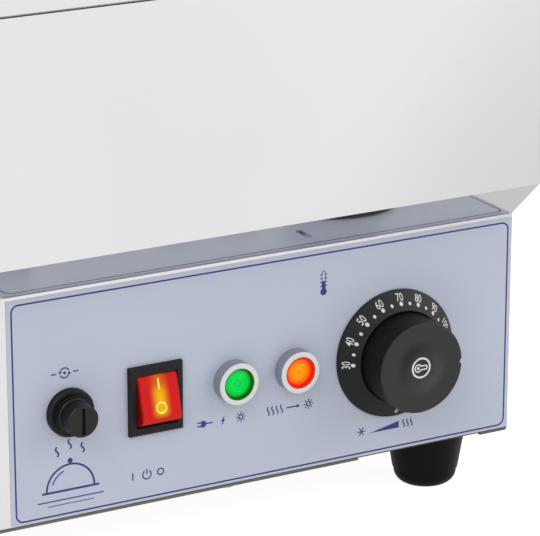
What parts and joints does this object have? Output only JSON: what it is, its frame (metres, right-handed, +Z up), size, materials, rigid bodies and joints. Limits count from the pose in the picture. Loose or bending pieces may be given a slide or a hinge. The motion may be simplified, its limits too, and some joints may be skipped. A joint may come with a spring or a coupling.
{
  "type": "electric food warmer",
  "caption": "Countertop electric food warmer: steel control box on rubber feet, water tank with a lift-out tray, hinged hipped lid, thermostat dial, rocker switch, pilot lamps and manual reset.",
  "frame": {"origin": "on the floor, under the middle of the warmer's overall box", "axes": "+X to the right along the long side, +Y to the back where the lid is hinged, +Z up"},
  "size_m": [0.5802, 0.3732, 0.3671],
  "materials": {
    "housing_steel": "satin",
    "plate_steel": "satin",
    "drawn_steel": "satin, drawn",
    "polished_steel": "polished",
    "fastener_steel": "plain",
    "rubber": "matte",
    "silicone": "matte",
    "panel_film": "satin film",
    "black_plastic": "satin",
    "rocker_red": "see-through, lit",
    "green_lens": "see-through, lit",
    "orange_lens": "see-through, lit",
    "lamp_metal": "satin",
    "control_plastic": "moulded",
    "reset_red": "moulded",
    "brass": "plain",
    "copper": "drawn",
    "element_steel": "oxidised",
    "wool": "glass wool"
  },
  "bodies": {
    "base": {"base_housing": "housing_steel", "bottom_plate": "plate_steel", "foot_front_left": "rubber", "foot_front_right": "rubber", "foot_rear_left": "rubber", "foot_rear_right": "rubber", "foot_screws": "fastener_steel", "foot_nuts": "fastener_steel", "housing_screws": "fastener_steel", "tank_shell": "housing_steel", "shell_bolts": "fastener_steel", "shell_nuts": "fastener_steel", "water_tank": "drawn_steel", "rim_pads": "silicone", "hinge_base_left": "polished_steel", "hinge_base_right": "polished_steel", "hinge_pins": "polished_steel", "hinge_rivets_base": "fastener_steel", "panel_film": "panel_film", "reset_collar": "black_plastic", "cutout_body": "control_plastic", "cutout_bulb": "copper", "rocker_frame": "black_plastic", "rocker_blades": "brass", "green_lamp_ring": "lamp_metal", "green_lamp_lens": "green_lens", "orange_lamp_ring": "lamp_metal", "orange_lamp_lens": "orange_lens", "lamp_nuts": "fastener_steel", "dial_plate": "black_plastic", "thermostat_body": "control_plastic", "thermostat_screws": "fastener_steel", "thermostat_bulb": "copper", "bulb_clips": "plate_steel", "heating_element": "element_steel", "element_clamps": "plate_steel", "tank_studs": "fastener_steel", "stud_nuts": "fastener_steel", "insulation_mat": "wool", "heat_shield": "plate_steel", "gland_body": "black_plastic", "gland_cap": "black_plastic", "gland_nut": "black_plastic", "bonding_stud": "fastener_steel", "bonding_nuts": "fastener_steel", "terminal_block": "control_plastic"},
    "lid": {"lid_shell": "housing_steel", "lid_handle": "polished_steel", "handle_spacers": "black_plastic", "handle_screws": "fastener_steel", "hinge_lid_left": "polished_steel", "hinge_lid_right": "polished_steel", "hinge_rivets_lid": "fastener_steel"},
    "knob": {"control_knob": "black_plastic", "thermostat_shaft": "fastener_steel"},
    "rocker": {"rocker_button": "rocker_red"},
    "cap": {"reset_cap": "black_plastic"},
    "pin": {"reset_pin": "reset_red"},
    "pan": {"food_pan": "drawn_steel"}
  },
  "joints": [
    {"name": "lid_swing", "type": "hinge", "parent": "base", "child": "lid", "pos_m": [0, 0.1835, 0.25455], "axis": [-1, 0, 0], "range_deg": [0, 95]},
    {"name": "knob_turn", "type": "hinge", "parent": "base", "child": "knob", "pos_m": [0.2247, -0.1624, 0.0759], "axis": [0, -1, 0], "range_deg": [-9, 273]},
    {"name": "rocker_tip", "type": "hinge", "parent": "base", "child": "rocker", "pos_m": [0.10535, -0.1616, 0.0759], "axis": [1, 0, 0], "range_deg": [0, 31]},
    {"name": "reset_cap_off", "type": "slide", "parent": "base", "child": "cap", "axis": [0, -1, 0], "range_m": [0, 0.03]},
    {"name": "reset_press", "type": "slide", "parent": "base", "child": "pin", "axis": [0, 1, 0], "range_m": [0, 0.0012], "stiffness_N_per_m": 500, "springref_m": -0.002},
    {"name": "pan_lift", "type": "slide", "parent": "base", "child": "pan", "axis": [0, 0, 1], "range_m": [0, 0.036]}
  ]
}
